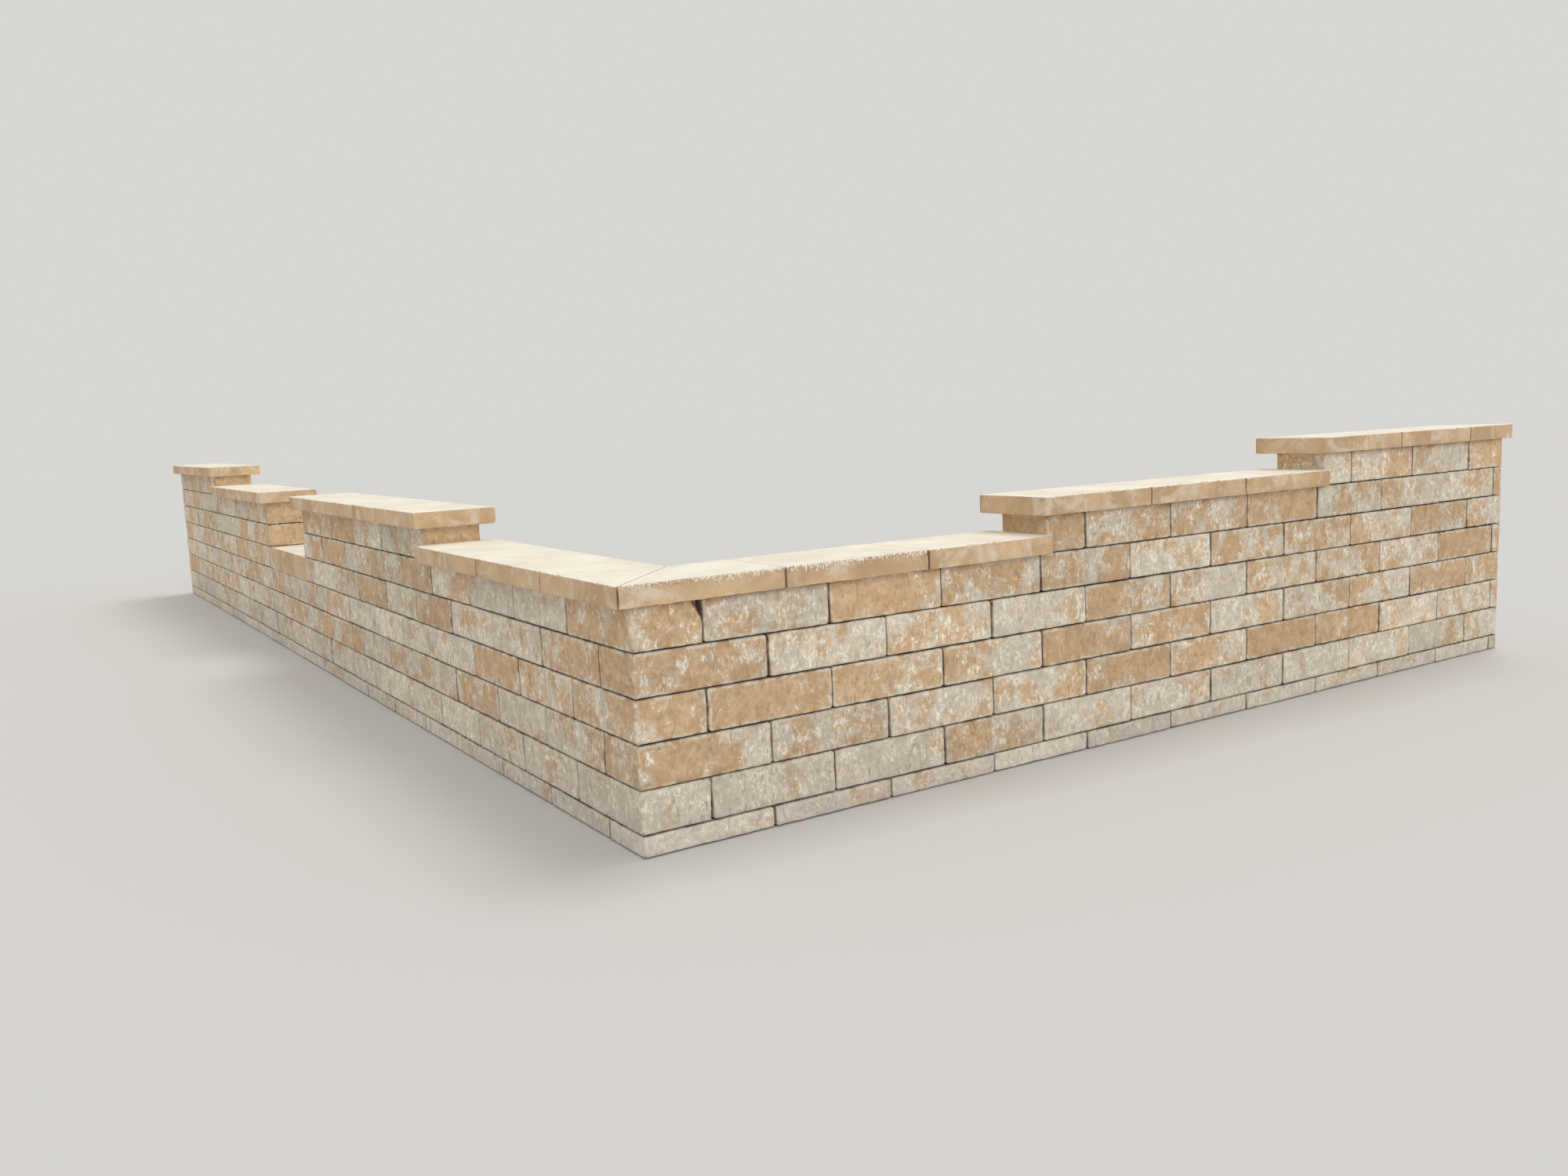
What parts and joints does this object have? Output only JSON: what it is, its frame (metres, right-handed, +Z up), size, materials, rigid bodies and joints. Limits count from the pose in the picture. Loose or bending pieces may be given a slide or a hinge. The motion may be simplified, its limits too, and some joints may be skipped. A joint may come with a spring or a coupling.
{
  "type": "natural stone garden wall",
  "caption": "Low dry-laid garden wall of split stone blocks: two wings at a square corner, stepped sawn copings and an entrance gap with a step.",
  "frame": {"origin": "base level, where the centre lines of the two wings cross", "axes": "+Z up, +Y along the short wing, -X along the long wing, outer faces towards +X and -Y"},
  "size_m": [9.49, 5.225, 1.2],
  "materials": {
    "walling": "split-faced sandy limestone",
    "coping": "sawn stone with rough-hewn outer edge",
    "step": "sawn stone block"
  },
  "bodies": {
    "root": {"entrance_step": "step", "long_course_1": "walling", "long_course_2": "walling", "long_course_3": "walling", "long_course_4": "walling", "long_far_coping_1": "coping", "long_far_coping_2": "coping", "long_far_coping_3": "coping", "long_far_course_5": "walling", "long_far_course_6": "walling", "long_far_course_7": "walling", "long_far_course_8": "walling", "long_low_coping_1": "coping", "long_low_coping_2": "coping", "long_low_coping_3": "coping", "long_near_coping_1": "coping", "long_near_coping_2": "coping", "long_near_coping_3": "coping", "long_near_coping_4": "coping", "long_near_course_5": "walling", "long_near_course_6": "walling", "long_near_course_7": "walling", "long_top_coping_1": "coping", "long_top_coping_2": "coping", "long_top_coping_3": "coping", "short_course_1": "walling", "short_course_2": "walling", "short_course_3": "walling", "short_course_4": "walling", "short_course_5": "walling", "short_course_6": "walling", "short_course_7": "walling", "short_course_8": "walling", "short_high_coping_1": "coping", "short_high_coping_2": "coping", "short_high_coping_3": "coping", "short_low_coping_1": "coping", "short_low_coping_2": "coping", "short_low_coping_3": "coping", "short_mid_coping_1": "coping", "short_mid_coping_2": "coping", "short_mid_coping_3": "coping"}
  },
  "joints": []
}
